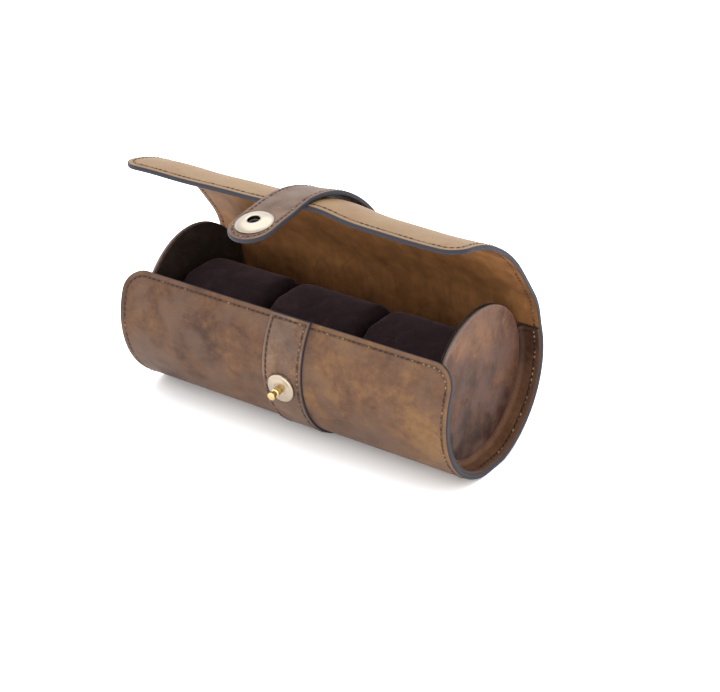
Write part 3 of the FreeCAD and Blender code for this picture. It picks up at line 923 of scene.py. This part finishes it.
def make_end(side, name, tree):
    axis = (side, 0, 0)
    rim = 0.5 * MM
    profile = [(0, 0), (END_RADIUS - 0.7 * rim, 0), (END_RADIUS, rim), (END_RADIUS, END_COVER - rim),
               (END_RADIUS - 0.3 * rim, END_COVER - 0.25 * rim), (END_RADIUS - rim, END_COVER)]
    steps, dish = 14, 0.5 * MM
    profile += [(END_RADIUS * (1 - k / steps), END_COVER - dish * math.sin(math.pi / 2 * k / steps))
                for k in range(1, steps)]
    profile += [(0, END_COVER - dish)]
    base = (side * (END_FACE - END_COVER), 0, AXIS_Z)
    disc = turned("end_disc_" + name, profile, base, axis, "end_leather", segments=128)
    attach(disc, "case")
    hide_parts("end_cover_" + name)
    outside = WRAP_RADIUS - LEATHER - LINING
    inside = outside - END_COVER
    fold = 2.6 * MM
    section = [(END_FACE + fold - fold * math.cos(a), inside - fold + fold * math.sin(a))
               for a in np.linspace(0, math.pi / 2, 8)]
    section += [(x, inside) for x in np.linspace(END_FACE + fold, FLANGE_REACH - 0.4 * MM, 6)[1:]]
    section += [(FLANGE_REACH, inside + 0.4 * MM), (FLANGE_REACH, outside - 0.05 * MM),
                (END_FACE - END_COVER, outside - 0.05 * MM), (END_FACE - END_COVER, inside - fold)]
    angles = np.arange(-FLANGE_ANGLE, FLANGE_ANGLE + 0.1, 2.0)
    points, place, edge = [], [], []
    floor = LEATHER + LINING
    for a in angles:
        for x, r in section:
            p = on_roll(r, a)
            lift = floor + outside - r
            points.append((side * x, p[1], max(p[2], lift)))
            place.append((x, math.radians(a) * r, 0.2 * side))
            edge.append(min(FLANGE_REACH - x, math.radians(FLANGE_ANGLE - abs(a)) * r) + 0.1 * MM)
    count = len(section)
    faces = []
    for first in range(0, (len(angles) - 1) * count, count):
        for j in range(count):
            after = (j + 1) % count
            faces.append((first + j, first + count + j, first + count + after, first + after))
    faces += [tuple(range(count)), tuple(range(len(points) - count, len(points)))]
    flange = new_piece("end_flange_" + name, points, faces, "flange_leather", place, edge,
                       np.abs(np.array(edge) - SEAM_INSET), [1.1 - height_tone(p[2]) for p in points])
    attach(flange, "case")
    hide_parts("end_cover_" + name)
    line = []
    for a in np.arange(3 - FLANGE_ANGLE, FLANGE_ANGLE - 2.9, 2.0):
        p = on_roll(inside - 0.02 * MM, a)
        lift = floor + END_COVER + 0.02 * MM
        line.append(((side * (HALF - SEAM_INSET), p[1], max(p[2], lift)), -radial(a)))
    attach(sew("end_stitches_" + name, [line], tree), "case")


# Metal parts

def make_stud():
    axis = radial(STUD_ANGLE)
    beside = np.array((STRAP_PLACE, 0, 0))
    plate_height = 2.7 * MM
    reach = 8.0 * MM
    post = 2.25 * MM
    plate = [(post, 0), (reach - 0.3 * MM, 0), (reach, 0.3 * MM), (reach, plate_height - 1.25 * MM)]
    plate += [(reach - 1.1 * MM * (1 - math.cos(a)), plate_height - 1.25 * MM + 0.85 * MM * math.sin(a))
              for a in np.linspace(0.3, math.pi / 2, 5)]
    plate += [(5.4 * MM, plate_height - 0.25 * MM), (5.0 * MM, plate_height - 0.05 * MM),
              (3.4 * MM, plate_height), (3.1 * MM, plate_height - 0.3 * MM), (post, plate_height - 0.35 * MM)]
    base = on_roll(STUD_SEAT, STUD_ANGLE) + beside
    pieces = [turned("stud_base_plate", plate, base, axis, "gold_with_painted_light", 96)]
    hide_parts("stud_plate")
    foot = WRAP_RADIUS - LEATHER - 0.7 * MM
    tip = KNOB_REACH - foot
    neck = tip - 3.6 * MM
    slim = 1.55 * MM
    shank = [(0, 0), (post, 0), (post, neck - 0.5 * MM), (post - 0.12 * MM, neck - 0.35 * MM), (slim, neck),
             (slim, neck + 1.2 * MM), (post - 0.1 * MM, neck + 1.55 * MM), (post, neck + 1.7 * MM),
             (post, tip - 0.7 * MM), (post - 0.2 * MM, tip - 0.3 * MM), (post - 0.6 * MM, tip - 0.06 * MM),
             (post - 1.2 * MM, tip), (0, tip)]
    base = on_roll(foot, STUD_ANGLE) + beside
    pieces.append(turned("stud_post_and_knob", shank, base, axis, "bright_brass", 48))
    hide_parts("stud_post")
    for piece in pieces:
        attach(piece, "case")


def make_socket():
    """Domed cap and barrel, spring ring and back washer, square to the strap's tilted end."""
    centre, above = (spot(strap_place, 0.0, SOCKET_S, off) for off in (0.0, MM))
    beside = spot(strap_place, 5 * MM, SOCKET_S)
    across = (beside - centre) / np.linalg.norm(beside - centre)
    axis = (above - centre) / np.linalg.norm(above - centre)
    axis = axis - across * (axis @ across)
    axis /= np.linalg.norm(axis)
    top = 2 * STRAP_LAYER - 0.3 * MM
    hole, barrel, reach = 3.1 * MM, 4.8 * MM, 9.6 * MM
    cap = [(hole, -0.6 * MM), (barrel, -0.6 * MM), (barrel, top), (reach - 0.15 * MM, top),
           (reach, top + 0.2 * MM), (reach, top + 0.7 * MM), (reach - 0.25 * MM, top + 1.05 * MM),
           (8.6 * MM, top + 1.6 * MM), (7.4 * MM, top + 2.1 * MM), (6.0 * MM, top + 2.5 * MM),
           (4.7 * MM, top + 2.75 * MM), (4.0 * MM, top + 2.8 * MM),
           (hole + 0.35 * MM, top + 2.65 * MM), (hole, top + 2.3 * MM)]
    pieces = [turned("socket_domed_cap", cap, centre, axis, "gold_with_painted_shade", 96)]
    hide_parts("socket_cap")
    wire = 0.25 * MM
    ring = [(hole - wire + wire * math.cos(a), top + 0.6 * MM + wire * math.sin(a))
            for a in np.linspace(0, 2 * math.pi, 12, endpoint=False)]
    pieces.append(turned("socket_spring_ring", ring, centre, axis, "spring_steel", 48))
    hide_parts("socket_spring")
    washer = 7.5 * MM
    back = [(barrel, -0.6 * MM), (washer - 0.3 * MM, -0.6 * MM), (washer, -0.35 * MM), (washer, 0.3 * MM),
            (barrel, 0.3 * MM)]
    pieces.append(turned("socket_back_washer", back, centre, axis, "gold_with_painted_shade", 64))
    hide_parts("socket_back")
    for piece, slot in zip(pieces, ("gold_metal", "steel", "gold_metal")):
        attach(piece, "strap_end")


# The watch pillows

def pillow_form(low, high, shrink):
    """Rounded bar between two corners, a little smaller than its place."""
    width = high.y - low.y - 2 * shrink
    height = high.z - low.z - 2 * shrink
    length = high.x - low.x - 2 * shrink
    form = bmesh.new()
    bmesh.ops.create_cube(form, size=1.0, matrix=Matrix.Diagonal((length, width, height, 1)))
    lengthwise = [e for e in form.edges if abs((e.verts[0].co - e.verts[1].co).x) > length / 2]
    bmesh.ops.bevel(form, geom=lengthwise, offset=PILLOW_ROUND, segments=12, profile=0.5, affect="EDGES")
    ends = [e for e in form.edges if abs(abs(e.verts[0].co.x) - length / 2) < 1e-6
            and abs(abs(e.verts[1].co.x) - length / 2) < 1e-6 and len(e.link_faces) == 2
            and any(len(f.verts) > 4 for f in e.link_faces)]
    bmesh.ops.bevel(form, geom=ends, offset=3 * MM, segments=3, profile=0.5, affect="EDGES")
    return form


def fill_pillow(piece, cap):
    """Voxel remesh and a short cloth simulation, so that the cover swells over its stuffing."""
    remesh = piece.modifiers.new("remesh", "REMESH")
    remesh.mode = "VOXEL"
    remesh.voxel_size = PILLOW_GRID
    bake_modifiers(piece)
    rest = np.array([v.co for v in piece.data.vertices])
    cloth = piece.modifiers.new("cloth", "CLOTH").settings
    cloth.quality = 6
    cloth.mass = 0.25
    cloth.use_pressure = True
    cloth.uniform_pressure_force = 4.0
    cloth.tension_stiffness = cloth.compression_stiffness = 12
    cloth.bending_stiffness = 1.2
    cloth.effector_weights.gravity = 0.0
    scene = bpy.context.scene
    for step in range(1, 21):
        scene.frame_set(step)
    bake_modifiers(piece)
    scene.frame_set(1)
    moved = np.array([v.co for v in piece.data.vertices])
    shift = moved - rest
    size = np.linalg.norm(shift, axis=1)[:, None]
    rest = rest + shift * np.minimum(1, cap / np.maximum(size, 1e-9))
    piece.data.vertices.foreach_set("co", rest.astype(np.float32).ravel())
    smoother = piece.modifiers.new("smoother", "SUBSURF")
    smoother.levels = smoother.render_levels = 1
    bake_modifiers(piece)


def bake_modifiers(piece):
    bpy.context.view_layer.update()
    mesh = bpy.data.meshes.new_from_object(piece.evaluated_get(bpy.context.evaluated_depsgraph_get()))
    piece.modifiers.clear()
    piece.data = mesh


def shape_pillow(points, low, high):
    """Sinks the seam round each end panel and ripples the ends, inside the pillow's place."""
    centre = (np.array(low) + np.array(high)) / 2
    half = (np.array(high) - np.array(low)) / 2
    local = points - centre
    seam = np.exp(-((half[0] - PILLOW_SEAM - np.abs(local[:, 0])) / (1.1 * MM)) ** 2)
    wave = np.sin(local[:, 1] * 420 + 3 * np.sin(local[:, 0] * 160))
    wrinkle = 0.25 * MM * wave * np.abs(local[:, 0] / half[0]) ** 3
    radial_size = np.linalg.norm(local[:, 1:], axis=1)[:, None]
    inward = -local[:, 1:] / np.maximum(radial_size, 1e-6)
    local[:, 1:] += inward * (0.7 * MM * seam + wrinkle)[:, None]
    limit = half - 0.15 * MM
    return np.clip(local, -limit, limit) + centre


def make_pillows():
    low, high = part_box("pillow_end_panels_middle")
    form = pillow_form(low, high, PILLOW_SHRINK)
    mesh = bpy.data.meshes.new("pillow_form")
    form.to_mesh(mesh)
    form.free()
    worker = add_object("pillow_form", mesh)
    fill_pillow(worker, PILLOW_SWELL)
    shape = np.array([v.co for v in worker.data.vertices])
    faces = [tuple(p.vertices) for p in worker.data.polygons]
    bpy.data.objects.remove(worker)
    for turn, name in enumerate(("left", "middle", "right")):
        low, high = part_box("pillow_end_panels_" + name)
        centre = np.array((low + high) / 2)
        flip = np.array((-1.0 if turn == 1 else 1.0, -1.0 if turn == 2 else 1.0, 1.0))
        points = shape_pillow(shape * flip + centre, low, high)
        pillow = new_piece("watch_pillow_" + name, points, faces, "plum_suede", sharp=60.0)
        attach(pillow, "pillow_" + name)
        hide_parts(*("pillow_%s_%s" % (part, name) for part in ("cover", "end_panels", "foam")))


# Floor, light and camera

def make_room():
    floor_mesh = bpy.data.meshes.new("floor")
    reach = 4.0
    corners = [(-reach, -reach, 0), (reach, -reach, 0), (reach, reach, 0), (-reach, reach, 0)]
    floor_mesh.from_pydata(corners, [], [(0, 1, 2, 3)])
    floor = add_object("floor", floor_mesh)
    shader = new_material("pale_floor")[0]
    set_values(shader, Base_Color=(0.93, 0.93, 0.93, 1), Roughness=0.9, Specular_IOR_Level=0.1)
    floor_mesh.materials.append(materials["pale_floor"])
    world = bpy.data.worlds.new("studio")
    world.use_nodes = True
    set_values(world.node_tree.nodes["Background"], Color=(1, 1, 1, 1), Strength=2.25)
    bpy.context.scene.world = world


def soft_light(name, place, target, size, power):
    lamp = bpy.data.lights.new(name, "AREA")
    lamp.shape = "RECTANGLE"
    lamp.size, lamp.size_y = size
    lamp.energy = power
    light = add_object(name, lamp)
    light.location = place
    light.rotation_euler = (Vector(target) - Vector(place)).to_track_quat("-Z", "Y").to_euler()


def make_camera():
    target = Vector((20.1, 0.0, 46.1)) * MM
    place = Vector((493.5, -688.2, 478.0)) * MM
    lens = bpy.data.cameras.new("camera")
    lens.sensor_width = 36.0
    lens.lens = 90.8
    lens.clip_start = 0.05
    camera = add_object("camera", lens)
    camera.location = place
    camera.rotation_euler = (target - place).to_track_quat("-Z", "Y").to_euler()
    bpy.context.scene.camera = camera


def finish_cad_nodes():
    """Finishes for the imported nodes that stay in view."""
    wear = {"end_lining": "brown_suede", "end_board": "fibre_board", "stud_washer": "spring_steel"}
    for name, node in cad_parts.items():
        for start, material in wear.items():
            if name.startswith(start):
                node.data.materials.clear()
                node.data.materials.append(materials[material])


make_materials()
stitches = stitch_tree()
make_wrap(stitches)
make_strap(stitches)
make_front_strip(stitches)
for side, name in ((-1, "left"), (1, "right")):
    make_end(side, name, stitches)
make_stud()
make_socket()
make_pillows()
finish_cad_nodes()
make_room()
soft_light("overhead", (-0.25, 0.35, 1.3), (0, 0, 0.05), (1.8, 1.6), 17.5)
soft_light("front_fill", (0.5, -1.5, 0.45), (0, 0, 0.02), (1.6, 0.8), 7.0)
make_camera()
bpy.context.scene.view_settings.view_transform = "Standard"
